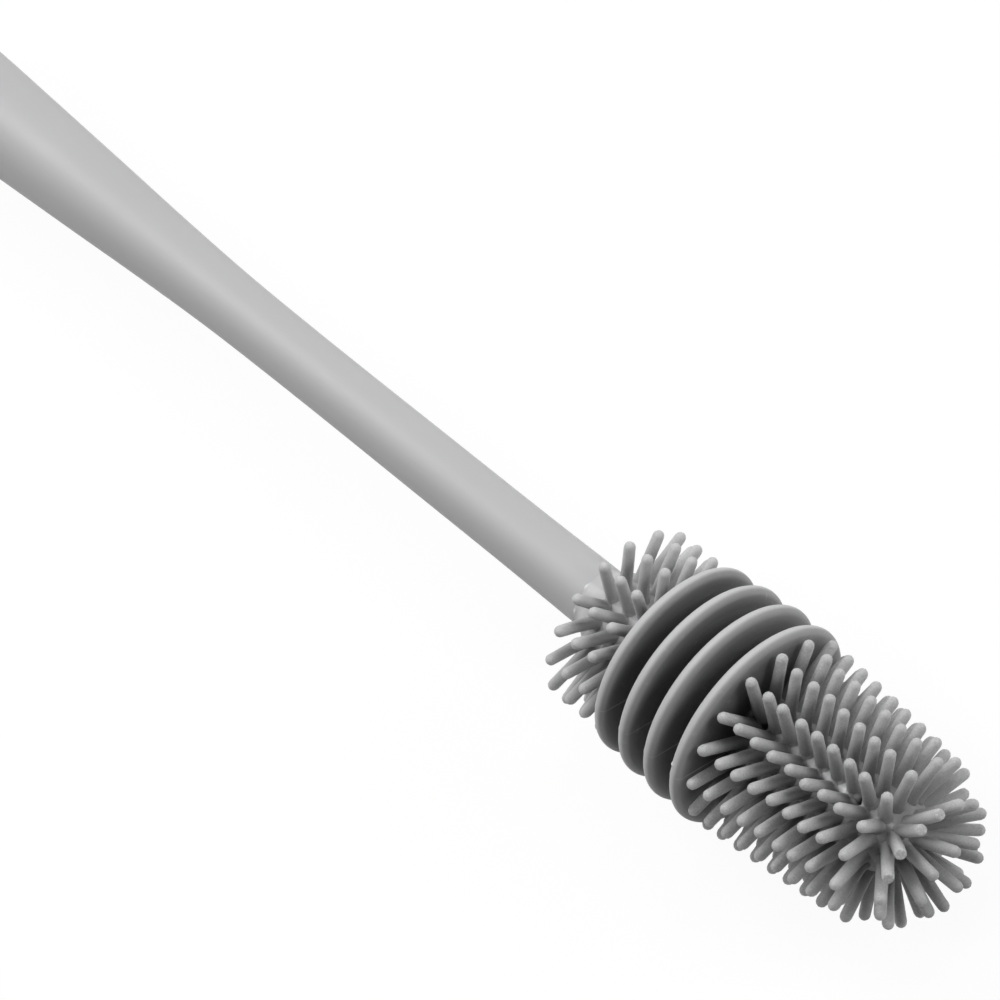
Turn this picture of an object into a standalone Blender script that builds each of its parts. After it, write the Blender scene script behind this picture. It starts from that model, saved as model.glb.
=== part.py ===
# Bottle brush: a turned grip, a core rod held inside, and a silicone head with four discs and 217 fingers.
# Metres. The brush lies along X with its tip at +X, and the origin is the middle of its box.

import math

import bmesh
import bpy
from mathutils import Matrix, Vector

OBJECT_NAME = "bottle_brush"

# Clearance left between pieces that touch in the real brush
TOUCH_GAP = 0.0003

# Stations are distances along the axis from the first front ring of fingers, positive towards the tip.
BUTT_STATION = -0.283
HEAD_START = -0.0482
FIRST_DISC_STATION = -0.0258
LAST_DISC_STATION = -0.0038
DOME_STATION = 0.0293

# Head
HUB_RADIUS = 0.009
SLEEVE_RADIUS = 0.0065
SLEEVE_EDGE = 0.0003
FLARE_START = -0.0472
FLARE_END = -0.0431
FLARE_STEPS = 6
HEAD_STEPS = 24
ARC_STEPS = 4

# Wiping discs, from the grip towards the tip
DISC_RADII = (0.0217, 0.0223, 0.0227, 0.0228)
DISC_THICKNESS = 0.0029
DISC_ROOT_FILLET = 0.0006
# The soft discs are pressed flat where the brush lies, this deep at the one that reaches lowest.
REST_DEPTH = 0.0005

# Fingers
FINGER_RADIUS = 0.0012
FINGER_FOOT_RADIUS = 0.0013
FINGER_SIDES = 5
FINGER_EDGE = 0.00065
FINGER_ROOT_DEPTH = 0.0008
# One quarter of a ring, as pairs of the angle at the finger's tip and at its foot, from +Z towards +Y
QUARTER_RING_DEGREES = ((11.8, 8.2), (32.8, 30.0), (55.4, 57.5), (78.5, 74.5))

NECK_RING_COUNT = 3
NECK_RING_START = -0.0412
NECK_RING_PITCH = 0.0048
NECK_REACH = 0.0208

FRONT_RING_COUNT = 8
FRONT_RING_PITCH = 0.00412
FRONT_REACH_FIRST = 0.0222
FRONT_REACH_LAST = 0.0197
FRONT_SLICE_COUNT = 4

# The fingers of the dome end on a sphere round the dome's centre, at these angles from the axis.
DOME_REACH = 0.020
TRIMMED_REACH = 0.0190
TRIMMED_DEGREES = 45
OUTER_DOME_DEGREES = (74.6, 69.5)
MIDDLE_DOME_DEGREES = (47.0, 43.5)
INNER_DOME_DEGREES = (24.0, 21.0)
INNER_DOME_COUNT = 8

# Core rod
ROD_RADIUS = 0.0032
ROD_START = -0.070
ROD_END = 0.033
ROD_CHAMFER = 0.0006
ROD_STEPS = 24

# Grip
SHOULDER_ROUND = 0.0005
SHANK_RADIUS = 0.0068
GRIP_WIDEST_STATION = -0.268
GRIP_WIDEST_RADIUS = 0.0123
# Pairs of a share of the way from the shoulder to the widest place,
# and a share of the rise from the shank's radius to the widest one
GRIP_OUTLINE_SHARES = (
    (0.016, 0.018),
    (0.066, 0.0),
    (0.235, 0.0),
    (0.371, 0.009),
    (0.440, 0.027),
    (0.535, 0.091),
    (0.645, 0.273),
    (0.740, 0.482),
    (0.840, 0.691),
    (0.950, 0.918),
)
BUTT_FLAT_RADIUS = 0.0055
BUTT_ARC_STEPS = 8
GRIP_STEPS = 32

# Colour, roughness and metallic share of each material
MATERIAL_VALUES = {
    "grip_plastic": ((0.42, 0.42, 0.43, 1.0), 0.38, 0.0),
    "rod_steel": ((0.56, 0.57, 0.58, 1.0), 0.30, 1.0),
    "silicone": ((0.24, 0.24, 0.245, 1.0), 0.55, 0.0),
}

TIP_STATION = DOME_STATION + DOME_REACH
MIDDLE_STATION = (BUTT_STATION + TIP_STATION) / 2
BORE_RADIUS = ROD_RADIUS + TOUCH_GAP
MERGE_DISTANCE = 0.00001


def make_collection(name):
    collection = bpy.data.collections.new(name)
    bpy.context.scene.collection.children.link(collection)
    return collection


def make_material(slot):
    colour, roughness, metallic = MATERIAL_VALUES[slot]
    material = bpy.data.materials.new(slot)
    material.use_nodes = True
    shader = material.node_tree.nodes["Principled BSDF"]
    shader.inputs["Base Color"].default_value = colour
    shader.inputs["Roughness"].default_value = roughness
    shader.inputs["Metallic"].default_value = metallic
    return material


def add_object(name, mesh, collection, material=None):
    piece = bpy.data.objects.new(name, mesh)
    collection.objects.link(piece)
    if material:
        mesh.materials.append(material)
    return piece


# Turned pieces

def turned_mesh(name, outline, steps, closed):
    # The outline is a list of station and radius, run from tip to butt on its outer side.
    # Its flats touch the true circle, and one of them faces down, so that the brush lies on it.
    half_step = math.pi / steps
    stretch = 1 / math.cos(half_step)
    points = []
    for station, radius in outline:
        across = radius * stretch
        points.append((
            station - MIDDLE_STATION,
            -across * math.sin(half_step),
            across * math.cos(half_step),
        ))
    edges = [(i, i + 1) for i in range(len(points) - 1)]
    if closed:
        edges.append((len(points) - 1, 0))
    mesh = bpy.data.meshes.new(name)
    mesh.from_pydata(points, edges, [])
    return mesh


def turned_piece(name, outline, steps, closed, collection, material):
    piece = add_object(name, turned_mesh(name, outline, steps, closed), collection, material)
    screw = piece.modifiers.new("Turn", "SCREW")
    screw.axis = "X"
    screw.angle = math.tau
    screw.steps = steps
    screw.render_steps = steps
    screw.use_merge_vertices = True
    screw.merge_threshold = MERGE_DISTANCE
    screw.use_smooth_shade = True
    return piece


def arc(centre, size, start_degrees, end_degrees, steps):
    # Points of an elliptical arc in the plane of station and radius; 0 degrees points to the tip.
    points = []
    for i in range(steps + 1):
        angle = math.radians(start_degrees + (end_degrees - start_degrees) * i / steps)
        points.append((
            centre[0] + size[0] * math.cos(angle),
            centre[1] + size[1] * math.sin(angle),
        ))
    return points


def grip_outline():
    # Out of the rod's socket, round the shoulder, along the grip and round the butt
    bore_bottom = ROD_START - TOUCH_GAP
    shoulder_face = HEAD_START - TOUCH_GAP
    run = GRIP_WIDEST_STATION - shoulder_face
    rise = GRIP_WIDEST_RADIUS - SHANK_RADIUS
    grip = [(shoulder_face + run * along, SHANK_RADIUS + rise * up) for along, up in GRIP_OUTLINE_SHARES]
    shoulder_centre = (shoulder_face - SHOULDER_ROUND, grip[0][1] - SHOULDER_ROUND)
    outline = [
        (bore_bottom, 0),
        (bore_bottom, BORE_RADIUS),
        (shoulder_face, BORE_RADIUS),
    ]
    outline += arc(shoulder_centre, (SHOULDER_ROUND, SHOULDER_ROUND), 0, 90, ARC_STEPS)
    outline += grip
    butt_size = (GRIP_WIDEST_STATION - BUTT_STATION, GRIP_WIDEST_RADIUS - BUTT_FLAT_RADIUS)
    outline += arc((GRIP_WIDEST_STATION, BUTT_FLAT_RADIUS), butt_size, 90, 180, BUTT_ARC_STEPS)
    outline.append((BUTT_STATION, 0))
    return outline


def rod_outline():
    return [
        (ROD_END, 0),
        (ROD_END, ROD_RADIUS - ROD_CHAMFER),
        (ROD_END - ROD_CHAMFER, ROD_RADIUS),
        (ROD_START + ROD_CHAMFER, ROD_RADIUS),
        (ROD_START, ROD_RADIUS - ROD_CHAMFER),
        (ROD_START, 0),
    ]


def hub_outline(start, end):
    return [
        (end, HUB_RADIUS),
        (start, HUB_RADIUS),
        (start, BORE_RADIUS),
        (end, BORE_RADIUS),
    ]


def neck_outline(start, end):
    # The neck flares from a sleeve at the grip's shoulder to the hub along half a cosine wave.
    outline = [(end, HUB_RADIUS)]
    for i in range(FLARE_STEPS + 1):
        share = i / FLARE_STEPS
        station = FLARE_END + (FLARE_START - FLARE_END) * share
        radius = SLEEVE_RADIUS + (HUB_RADIUS - SLEEVE_RADIUS) * (1 + math.cos(math.pi * share)) / 2
        outline.append((station, radius))
    outline += [
        (start + SLEEVE_EDGE, SLEEVE_RADIUS),
        (start, SLEEVE_RADIUS - SLEEVE_EDGE),
        (start, BORE_RADIUS),
        (end, BORE_RADIUS),
    ]
    return outline


def disc_outline(start, end, disc_station, disc_radius):
    half = DISC_THICKNESS / 2
    fillet = DISC_ROOT_FILLET
    outline = [
        (end, HUB_RADIUS),
        (disc_station + half + fillet, HUB_RADIUS),
        (disc_station + half, HUB_RADIUS + fillet),
    ]
    outline += arc((disc_station, disc_radius - half), (half, half), 0, 180, 2 * ARC_STEPS)
    outline += [
        (disc_station - half, HUB_RADIUS + fillet),
        (disc_station - half - fillet, HUB_RADIUS),
        (start, HUB_RADIUS),
        (start, BORE_RADIUS),
        (end, BORE_RADIUS),
    ]
    return outline


def dome_outline(start):
    # The dome is a quarter circle whose foot is cut by the start of the slice.
    first_degrees = math.degrees(math.acos((start - DOME_STATION) / HUB_RADIUS))
    bore_bottom = ROD_END + TOUCH_GAP
    outline = arc((DOME_STATION, 0), (HUB_RADIUS, HUB_RADIUS), 0, first_degrees, 2 * ARC_STEPS)
    outline += [
        (start, BORE_RADIUS),
        (bore_bottom, BORE_RADIUS),
        (bore_bottom, 0),
    ]
    return outline


# Fingers

def axis_point(station, radius, degrees):
    # Angles run from +Z towards +Y.
    angle = math.radians(degrees)
    return Vector((
        station - MIDDLE_STATION,
        radius * math.sin(angle),
        radius * math.cos(angle),
    ))


def ring_angles():
    # The quarter ring is mirrored to the other side of the XZ plane, then to the back.
    angles = []
    for tip, foot in QUARTER_RING_DEGREES:
        angles.append((tip, foot))
    for tip, foot in reversed(QUARTER_RING_DEGREES):
        angles.append((180 - tip, 180 - foot))
    mirrored = [(-tip, -foot) for tip, foot in reversed(angles)]
    return angles + mirrored


def ring_fingers(station, reach):
    fingers = []
    for tip_degrees, foot_degrees in ring_angles():
        end = axis_point(station, reach, tip_degrees)
        foot = axis_point(station, HUB_RADIUS, foot_degrees)
        fingers.append((foot, end))
    return fingers


def dome_fingers(polar_degrees, angles, reach, trimmed_reach):
    # The polar angles at the end and at the foot are measured from the axis.
    # The fingers near the top of the dome may be trimmed shorter than the rest of their ring.
    end_polar, foot_polar = [math.radians(value) for value in polar_degrees]
    fingers = []
    for tip_degrees, foot_degrees in angles:
        length = trimmed_reach if abs(tip_degrees) < TRIMMED_DEGREES else reach
        end = axis_point(
            DOME_STATION + length * math.cos(end_polar),
            length * math.sin(end_polar),
            tip_degrees,
        )
        foot = axis_point(
            DOME_STATION + HUB_RADIUS * math.cos(foot_polar),
            HUB_RADIUS * math.sin(foot_polar),
            foot_degrees,
        )
        fingers.append((foot, end))
    return fingers


def inner_ring_angles():
    step = 360 / INNER_DOME_COUNT
    return [((i + 0.5) * step, (i + 0.5) * step) for i in range(INNER_DOME_COUNT)]


def add_finger(finger_bmesh, foot, end):
    # A tapered prism from just inside the hub to the end, with its end edge cut back.
    direction = (end - foot).normalized()
    base = foot - direction * FINGER_ROOT_DEPTH
    length = (end - base).length
    turn = direction.to_track_quat("Z", "Y").to_matrix().to_4x4()
    made = bmesh.ops.create_cone(
        finger_bmesh,
        cap_ends=True,
        segments=FINGER_SIDES,
        radius1=FINGER_FOOT_RADIUS,
        radius2=FINGER_RADIUS,
        depth=length,
        matrix=Matrix.Translation((base + end) / 2) @ turn,
    )
    end_verts = {v for v in made["verts"] if (v.co - end).length < length / 2}
    end_edges = {e for v in end_verts for e in v.link_edges if e.other_vert(v) in end_verts}
    bmesh.ops.bevel(
        finger_bmesh,
        geom=list(end_edges),
        offset=FINGER_EDGE,
        segments=1,
        affect="EDGES",
        clamp_overlap=True,
    )


def finger_cutter(name, fingers, collection, material):
    finger_bmesh = bmesh.new()
    for foot, end in fingers:
        add_finger(finger_bmesh, foot, end)
    mesh = bpy.data.meshes.new(name)
    finger_bmesh.to_mesh(mesh)
    finger_bmesh.free()
    cutter = add_object(name, mesh, collection, material)
    cutter.hide_render = True
    cutter.display_type = "WIRE"
    return cutter


def join_fingers(slice_piece, fingers, collection, material):
    # Neighbours touch at their feet, so every second finger is joined in a step of its own.
    for turn in range(2):
        cutter = finger_cutter(f"{slice_piece.name}_set_{turn + 1}", fingers[turn::2], collection, material)
        join = slice_piece.modifiers.new(f"Join {turn + 1}", "BOOLEAN")
        join.operation = "UNION"
        join.solver = "EXACT"
        join.object = cutter


# Sub-parts

def make_grip(parts, materials):
    turned_piece("grip", grip_outline(), GRIP_STEPS, False, parts, materials["grip_plastic"])


def make_core_rod(parts, materials):
    turned_piece("core_rod", rod_outline(), ROD_STEPS, False, parts, materials["rod_steel"])


def disc_stations():
    step = (LAST_DISC_STATION - FIRST_DISC_STATION) / (len(DISC_RADII) - 1)
    return [FIRST_DISC_STATION + i * step for i in range(len(DISC_RADII))]


def front_ring_reach(ring):
    share = ring / (FRONT_RING_COUNT - 1)
    return FRONT_REACH_FIRST + (FRONT_REACH_LAST - FRONT_REACH_FIRST) * share


def make_neck(parts, cutters, silicone, neck_end):
    outline = neck_outline(HEAD_START, neck_end)
    neck = turned_piece("neck_fingers", outline, HEAD_STEPS, True, parts, silicone)
    fingers = []
    for ring in range(NECK_RING_COUNT):
        fingers += ring_fingers(NECK_RING_START + ring * NECK_RING_PITCH, NECK_REACH)
    join_fingers(neck, fingers, cutters, silicone)


def rest_cutter(collection):
    # A slab whose top is the plane that the brush lies on. It touches the grip's widest place,
    # and it is tilted so that it cuts into the disc that would reach lowest.
    slopes = []
    for station, radius in zip(disc_stations(), DISC_RADII):
        slopes.append((radius - REST_DEPTH - GRIP_WIDEST_RADIUS) / (station - GRIP_WIDEST_STATION))
    tilt = math.atan(max(slopes))
    touch = Vector((GRIP_WIDEST_STATION - MIDDLE_STATION, 0, -GRIP_WIDEST_RADIUS))
    length = TIP_STATION - GRIP_WIDEST_STATION
    width = 2 * max(DISC_RADII)
    depth = max(DISC_RADII)
    place = Matrix.Translation(touch) @ Matrix.Rotation(tilt, 4, "Y")
    place = place @ Matrix.Translation((length / 2, 0, -depth / 2))
    slab = bmesh.new()
    bmesh.ops.create_cube(slab, size=1, matrix=place @ Matrix.Diagonal((length, width, depth, 1)))
    mesh = bpy.data.meshes.new("rest_plane")
    slab.to_mesh(mesh)
    slab.free()
    cutter = add_object("rest_plane", mesh, collection)
    cutter.hide_render = True
    cutter.display_type = "WIRE"
    return cutter


def make_discs(parts, cutters, silicone, boundaries):
    slab = rest_cutter(cutters)
    for i, (station, radius) in enumerate(zip(disc_stations(), DISC_RADII)):
        start = boundaries[i] + TOUCH_GAP / 2
        end = boundaries[i + 1] - TOUCH_GAP / 2
        outline = disc_outline(start, end, station, radius)
        disc = turned_piece(f"disc_{i + 1}", outline, HEAD_STEPS, True, parts, silicone)
        flatten = disc.modifiers.new("Flatten", "BOOLEAN")
        flatten.operation = "DIFFERENCE"
        flatten.solver = "EXACT"
        flatten.object = slab


def make_front(parts, cutters, silicone, boundaries):
    rings_per_slice = FRONT_RING_COUNT // FRONT_SLICE_COUNT
    for i in range(FRONT_SLICE_COUNT):
        start = boundaries[i] + TOUCH_GAP / 2
        end = boundaries[i + 1] - TOUCH_GAP / 2
        outline = hub_outline(start, end)
        piece = turned_piece(f"front_fingers_{i + 1}", outline, HEAD_STEPS, True, parts, silicone)
        fingers = []
        for ring in range(i * rings_per_slice, (i + 1) * rings_per_slice):
            fingers += ring_fingers(ring * FRONT_RING_PITCH, front_ring_reach(ring))
        join_fingers(piece, fingers, cutters, silicone)


def make_tip(parts, cutters, silicone, tip_start):
    tip = turned_piece("tip_fingers", dome_outline(tip_start), HEAD_STEPS, False, parts, silicone)
    fingers = dome_fingers(OUTER_DOME_DEGREES, ring_angles(), FRONT_REACH_LAST, FRONT_REACH_LAST)
    fingers += dome_fingers(MIDDLE_DOME_DEGREES, ring_angles(), DOME_REACH, TRIMMED_REACH)
    fingers += dome_fingers(INNER_DOME_DEGREES, inner_ring_angles(), DOME_REACH, DOME_REACH)
    pole_foot = axis_point(DOME_STATION + HUB_RADIUS, 0, 0)
    pole_end = axis_point(TIP_STATION, 0, 0)
    fingers.append((pole_foot, pole_end))
    join_fingers(tip, fingers, cutters, silicone)


def disc_boundaries():
    # The head is parted halfway between neighbours, and at the front between the last disc's fillet
    # and the feet of the first ring of fingers, which stands at station zero.
    stations = disc_stations()
    last_neck_ring = NECK_RING_START + (NECK_RING_COUNT - 1) * NECK_RING_PITCH
    middles = [(a + b) / 2 for a, b in zip(stations, stations[1:])]
    fillet_end = stations[-1] + DISC_THICKNESS / 2 + DISC_ROOT_FILLET
    return [(last_neck_ring + stations[0]) / 2] + middles + [(fillet_end - FINGER_FOOT_RADIUS) / 2]


def front_boundaries():
    # Each front slice ends halfway to the next ring, and the last one half a pitch past its last ring.
    rings_per_slice = FRONT_RING_COUNT // FRONT_SLICE_COUNT
    ends = [(i + 1) * rings_per_slice - 0.5 for i in range(FRONT_SLICE_COUNT)]
    return [disc_boundaries()[-1]] + [end * FRONT_RING_PITCH for end in ends]


def build():
    for piece in list(bpy.data.objects):
        bpy.data.objects.remove(piece, do_unlink=True)
    parts = make_collection(OBJECT_NAME)
    cutters = make_collection("shapes_to_join")
    materials = {slot: make_material(slot) for slot in MATERIAL_VALUES}
    silicone = materials["silicone"]
    around_discs = disc_boundaries()
    along_front = front_boundaries()
    make_grip(parts, materials)
    make_core_rod(parts, materials)
    make_neck(parts, cutters, silicone, around_discs[0] - TOUCH_GAP / 2)
    make_discs(parts, cutters, silicone, around_discs)
    make_front(parts, cutters, silicone, along_front)
    make_tip(parts, cutters, silicone, along_front[-1] + TOUCH_GAP / 2)


build()
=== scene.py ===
import math

import bpy
import numpy as np
from mathutils import Matrix, Vector


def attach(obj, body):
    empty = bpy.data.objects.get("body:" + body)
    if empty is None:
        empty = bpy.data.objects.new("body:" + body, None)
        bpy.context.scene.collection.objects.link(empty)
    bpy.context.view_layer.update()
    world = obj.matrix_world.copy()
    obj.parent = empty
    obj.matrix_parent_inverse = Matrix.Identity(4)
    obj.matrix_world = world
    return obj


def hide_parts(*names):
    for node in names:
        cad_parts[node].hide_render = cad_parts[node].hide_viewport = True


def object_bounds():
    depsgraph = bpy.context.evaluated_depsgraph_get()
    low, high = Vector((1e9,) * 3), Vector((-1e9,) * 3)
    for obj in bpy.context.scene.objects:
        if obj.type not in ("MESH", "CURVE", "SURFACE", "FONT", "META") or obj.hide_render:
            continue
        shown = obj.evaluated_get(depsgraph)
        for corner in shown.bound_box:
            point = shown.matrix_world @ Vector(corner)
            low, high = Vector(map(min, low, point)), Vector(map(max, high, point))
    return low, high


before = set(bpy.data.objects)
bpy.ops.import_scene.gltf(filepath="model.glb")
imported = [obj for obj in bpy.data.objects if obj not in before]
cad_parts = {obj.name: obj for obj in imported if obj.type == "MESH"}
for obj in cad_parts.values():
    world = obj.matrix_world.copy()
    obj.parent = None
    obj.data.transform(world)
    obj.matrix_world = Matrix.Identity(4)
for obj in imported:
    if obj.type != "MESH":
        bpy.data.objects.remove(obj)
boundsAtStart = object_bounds()
print("frame loaded")

# Lengths are metres. A station is a distance along the brush from the first front ring of fingers.
overall = {
    "tipStation": 0.0493,
    "hubRadius": 0.009,
    "domeStation": 0.0293,
    "headStart": -0.0490,
}
middleStation = overall["tipStation"] - float(boundsAtStart[1][0])


def place(stations):
    # The frame's x of one station or of many
    return np.asarray(stations, dtype=float) - middleStation


# Meshes

def addMesh(name, points, faces):
    mesh = bpy.data.meshes.new(name)
    mesh.from_pydata(points.tolist(), [], faces)
    mesh.validate()
    mesh.polygons.foreach_set("use_smooth", np.ones(len(mesh.polygons), dtype=bool))
    piece = bpy.data.objects.new(name, mesh)
    bpy.context.scene.collection.objects.link(piece)
    return piece


def addValues(piece, name, values):
    # One number per point, which a material reads by its name
    piece.data.attributes.new(name, "FLOAT", "POINT").data.foreach_set("value", values)


def gridFaces(rows, columns, first=0):
    # Quads between neighbouring rows; the columns go round and close on themselves.
    faces = []
    for row in range(rows - 1):
        for column in range(columns):
            following = (column + 1) % columns
            a = first + row * columns
            b = a + columns
            faces.append((a + column, a + following, b + following, b + column))
    return faces


def roundedPath(corners, radii, steps=6):
    # Each corner of the path becomes a quadratic curve that starts and ends one radius away from it.
    points = [np.array(corners[0], dtype=float)]
    for before, corner, after, radius in zip(corners, corners[1:], corners[2:], radii):
        before, corner, after = [np.array(p, dtype=float) for p in (before, corner, after)]
        if radius == 0:
            points.append(corner)
            continue
        toBefore = (before - corner) / np.linalg.norm(before - corner)
        toAfter = (after - corner) / np.linalg.norm(after - corner)
        first = corner + toBefore * radius
        last = corner + toAfter * radius
        for share in np.linspace(0, 1, steps + 1):
            a = first + (corner - first) * share
            b = corner + (last - corner) * share
            points.append(a + (b - a) * share)
    points.append(np.array(corners[-1], dtype=float))
    return np.array(points)


def smoothCurve(points, count):
    # A Hermite curve through station and radius pairs, with the slope at each from its neighbours.
    points = np.array(points, dtype=float)
    slopes = np.gradient(points[:, 1], points[:, 0])
    stations = np.linspace(points[0, 0], points[-1, 0], count)
    order = np.argsort(points[:, 0])
    x, y, m = points[order, 0], points[order, 1], slopes[order]
    i = np.clip(np.searchsorted(x, stations, side="right") - 1, 0, len(x) - 2)
    width = x[i + 1] - x[i]
    t = (stations - x[i]) / width
    radius = (
        (2 * t**3 - 3 * t**2 + 1) * y[i]
        + (t**3 - 2 * t**2 + t) * width * m[i]
        + (3 * t**2 - 2 * t**3) * y[i + 1]
        + (t**3 - t**2) * width * m[i + 1]
    )
    return np.stack([stations, radius], axis=1)


def straightStretch(stations, radius):
    return np.stack([stations, np.full(len(stations), radius)], axis=1)


def arcBetween(angles, middle):
    # The way round from the middle angle, between minus and plus half a turn
    turn = angles - middle
    return np.arctan2(np.sin(turn), np.cos(turn))


def turnedMesh(name, profile, angles, lift=None):
    # A point is the station, and the radius times the sine and cosine of an angle from +Z to +Y.
    # Both ends of the profile lie on the axis and become one pole each.
    inner = profile[1:-1]
    radius = np.repeat(inner[:, 1:], len(angles), axis=1)
    if lift is not None:
        radius = radius + lift(inner[:, :1], inner[:, 1:], angles[None, :])
    across = np.stack([
        np.repeat(place(inner[:, :1]), len(angles), axis=1),
        radius * np.sin(angles)[None, :],
        radius * np.cos(angles)[None, :],
    ], axis=-1).reshape(-1, 3)
    poles = np.array([[place(profile[0, 0]), 0, 0], [place(profile[-1, 0]), 0, 0]])
    points = np.concatenate([across, poles])
    faces = gridFaces(len(inner), len(angles))
    startPole = len(across)
    lastRow = (len(inner) - 1) * len(angles)
    for column in range(len(angles)):
        following = (column + 1) % len(angles)
        faces.append((startPole, following, column))
        faces.append((startPole + 1, lastRow + column, lastRow + following))
    return addMesh(name, points, faces)


def facingOut(piece):
    # The signed volume of the closed mesh tells whether its faces have to be turned round.
    mesh = piece.data
    mesh.calc_loop_triangles()
    corners = np.array([t.vertices[:] for t in mesh.loop_triangles])
    points = np.array([v.co[:] for v in mesh.vertices])
    a, b, c = points[corners[:, 0]], points[corners[:, 1]], points[corners[:, 2]]
    if np.einsum("ij,ij->i", a, np.cross(b, c)).sum() < 0:
        mesh.flip_normals()
    return piece


# Grip

grip = {
    "shoulderFace": -0.0485,
    "shoulderRadius": 0.0069,
    "shoulderRound": 0.00008,
    # Rings close to the shoulder's edge keep its shading tight: on its face, on its wall,
    # and just before the outline starts.
    "faceRing": 0.0002,
    "edgeRing": 0.0003,
    "wallRing": 0.0005,
    "outline": [
        (-0.0520, 0.00690),
        (-0.0630, 0.00680),
        (-0.1000, 0.00680),
        (-0.1300, 0.00685),
        (-0.1450, 0.00695),
        (-0.1660, 0.00730),
        (-0.1900, 0.00830),
        (-0.2110, 0.00945),
        (-0.2330, 0.01060),
        (-0.2570, 0.01185),
    ],
    "outlineRings": 90,
    "widestStation": -0.268,
    "widestRadius": 0.0123,
    "buttStation": -0.283,
    "buttFlatRadius": 0.0055,
    "buttRings": 25,
    "segments": 128,
}


def makeGrip():
    # A turned profile: shoulder, smooth outline, a quarter of an ellipse round the butt, and a flat.
    face, radius = grip["shoulderFace"], grip["shoulderRadius"]
    shoulder = roundedPath(
        [
            (face, 0),
            (face, radius - grip["faceRing"]),
            (face, radius),
            (face - grip["edgeRing"], radius),
            (grip["outline"][0][0] + grip["wallRing"], radius),
        ],
        [0, grip["shoulderRound"], 0],
    )
    body = smoothCurve(grip["outline"][::-1], grip["outlineRings"])[::-1]
    turn = np.linspace(0, 0.5 * math.pi, grip["buttRings"])
    butt = np.stack([
        grip["widestStation"] - (grip["widestStation"] - grip["buttStation"]) * np.sin(turn),
        grip["buttFlatRadius"] + (grip["widestRadius"] - grip["buttFlatRadius"]) * np.cos(turn),
    ], axis=1)
    profile = np.concatenate([shoulder, body, butt, [(grip["buttStation"], 0)]])
    angles = np.linspace(0, math.tau, grip["segments"], endpoint=False)
    piece = facingOut(turnedMesh("gripBody", profile, angles))
    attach(piece, "root")
    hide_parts("grip")
    return piece


# Silicone hub and discs

hub = {
    "sleeveRadius": 0.00685,
    "flareStart": -0.0478,
    "flareEnd": -0.0431,
    "neckMargin": 0.004,
    "segments": 144,
    "domeSteps": 24,
    "straightRings": 100,
    "neckRings": 14,
    "flareRings": 17,
    "sleeveRings": 8,
    "ridgeDegrees": 1.5,
    "ridgeHeight": 0.00030,
    "ridgeWidth": 0.00055,
    # The ribs end this far from the dome's pole, and fade out this far up a disc's root.
    "ridgeEnd": 0.002,
    "ridgeClimb": 0.0012,
    "ridgeStepDegrees": [1.0, 2.1, 3.2, 4.2, 5.2, 6.2, 7.2, 8.2, 9.2],
    # Round pits break each rib near both of its ends, where pins held the core in the mould.
    "pits": [
        {"station": 0.0022, "radius": 0.0013},
        {"station": 0.0266, "radius": 0.0016},
    ],
    "pitDepth": 0.0022,
    # Raised scraps, all painted near white: two at the sleeve's end and one near the last pit, where the
    # white is a painted highlight, and one of flash on the last disc's rim. The length is along the brush
    # and the width round it.
    "scraps": [
        {
            "station": -0.0484, "reach": 0.0069, "degrees": -1.5,
            "height": 0.00020, "length": 0.00025, "width": 0.0006,
        },
        {
            "station": -0.0482, "reach": 0.0069, "degrees": -50,
            "height": 0.00020, "length": 0.00025, "width": 0.0006,
        },
        {
            "station": 0.0236, "reach": 0.0092, "degrees": 1.5,
            "height": 0.00010, "length": 0.00080, "width": 0.0007,
        },
        {
            "station": -0.0049, "reach": 0.0226, "degrees": -48.5,
            "height": 0.00035, "length": 0.00050, "width": 0.0003,
        },
    ],
    "scrapDepth": 0.001,
    "scrapStepDegrees": [-1.4, -0.8, -0.4, 0, 0.4, 0.8, 1.4],
}

discs = {
    "stations": [-0.0258, -0.0185, -0.0111, -0.0038],
    "radii": [0.0217, 0.0223, 0.0227, 0.0228],
    "thickness": 0.0029,
    "rootThickness": 0.0034,
    "rootFillet": 0.0009,
    "filletRings": 5,
    "wallRings": 8,
    "rimSteps": 12,
    # Each disc's rim swells a little where its parting line ends, from this reach outward.
    "nubDegrees": -55,
    "nubHeight": 0.00012,
    "nubWidth": 0.0005,
    "nubReach": 0.0195,
    "nubRise": 0.002,
    # The rims' painted highlight: how far in from the edge it reaches, how much it leans to the grip's
    # side, and the furthest it leans to the tip's side.
    "paleEdge": 0.0009,
    "paleLean": 1.5,
    "paleLimit": -0.3,
}


def discProfile(station, radius):
    # From the tip side of the root, out over a round rim, and back to the root.
    half = discs["thickness"] / 2
    rootHalf = discs["rootThickness"] / 2
    fillet = discs["rootFillet"]
    base = overall["hubRadius"]
    sweep = np.linspace(0, 0.5 * math.pi, discs["filletRings"])
    rise = np.stack([
        station + rootHalf + fillet * (1 - np.sin(sweep)),
        base + fillet * (1 - np.cos(sweep)),
    ], axis=1)
    wall = np.linspace(0, 1, discs["wallRings"])[1:-1, None]
    rimFoot = radius - half
    side = np.concatenate([
        station + rootHalf + (half - rootHalf) * wall,
        base + fillet + (rimFoot - base - fillet) * wall,
    ], axis=1)
    turn = np.linspace(0, math.pi, discs["rimSteps"] + 1)
    rim = np.stack([station + half * np.cos(turn), rimFoot + half * np.sin(turn)], axis=1)
    near = np.concatenate([rise, side])
    far = near[::-1].copy()
    far[:, 0] = 2 * station - far[:, 0]
    return np.concatenate([near, rim, far])


def scrapShare(scrap, station, radius, angles):
    # A bell curve of the distance from the scrap's middle: 1 there and 0 a few widths away
    offset = arcBetween(angles, math.radians(scrap["degrees"])) * radius
    away = (offset / scrap["width"]) ** 2 + ((station - scrap["station"]) / scrap["length"]) ** 2
    return np.exp(-away - ((radius - scrap["reach"]) / hub["scrapDepth"]) ** 2)


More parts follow.
